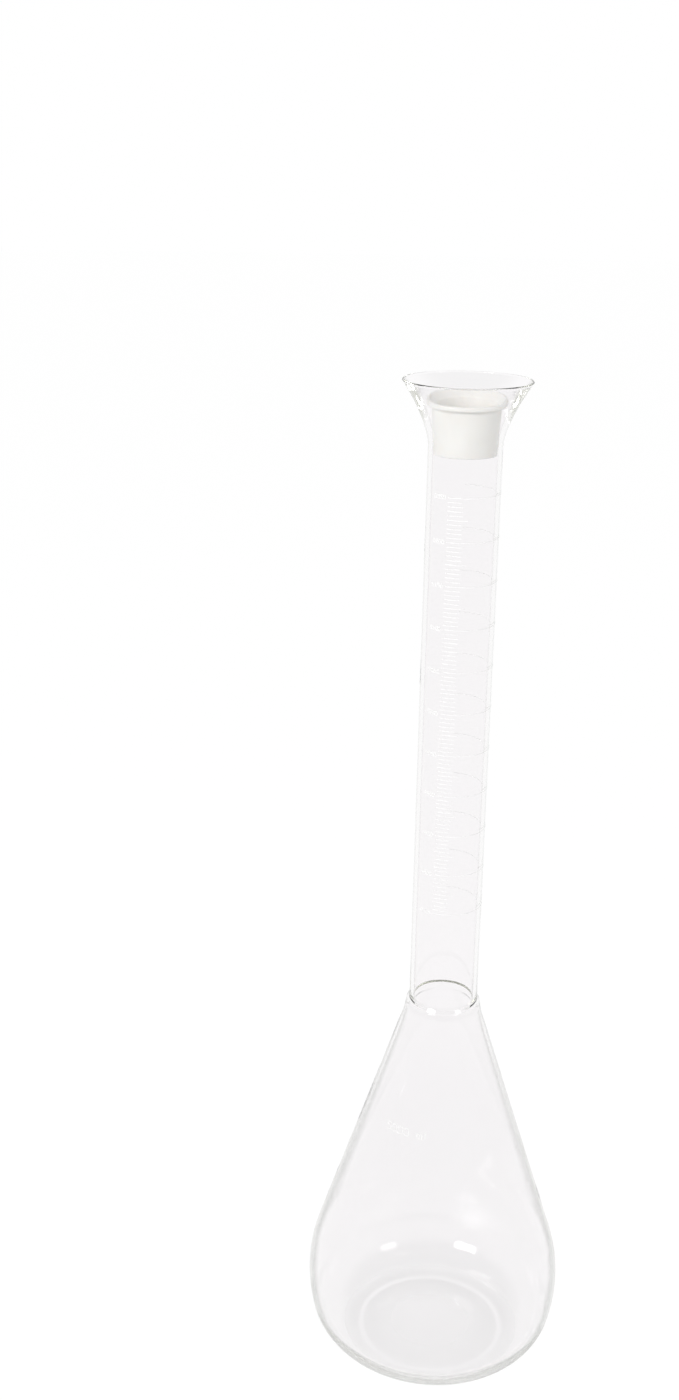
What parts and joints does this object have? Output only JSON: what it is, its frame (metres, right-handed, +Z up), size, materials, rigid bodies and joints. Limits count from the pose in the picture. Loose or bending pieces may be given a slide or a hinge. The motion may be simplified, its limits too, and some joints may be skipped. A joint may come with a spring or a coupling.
{
  "type": "conical volumetric flask with graduated neck",
  "caption": "Tall conical glass volumetric flask with a thick heel, a long graduated cylindrical neck, a flared funnel mouth and a lift-out hollow plastic stopper.",
  "frame": {"origin": "centre of the base, on the plane that the foot ring stands on", "axes": "+Z up the neck; the graduated scale and the capacity figures face -Y; +X to the right of the scale"},
  "size_m": [0.1982, 0.1982, 0.7675],
  "materials": {
    "clear_glass": "clear fire-polished borosilicate",
    "fired_enamel": "opaque white enamel fired on the glass",
    "stopper_plastic": "satin moulded off-white polyethylene"
  },
  "bodies": {
    "flask": {"conical_body": "clear_glass", "neck_seal": "clear_glass", "neck_tube": "clear_glass", "funnel_mouth": "clear_glass", "short_graduations": "fired_enamel", "medium_graduations": "fired_enamel", "ring_graduations": "fired_enamel", "scale_figures": "fired_enamel", "capacity_figures": "fired_enamel"},
    "stopper": {"stopper": "stopper_plastic"}
  },
  "joints": [
    {"name": "stopper_lift", "type": "slide", "parent": "flask", "child": "stopper", "axis": [0, 0, 1], "range_m": [0, 0.075]}
  ]
}
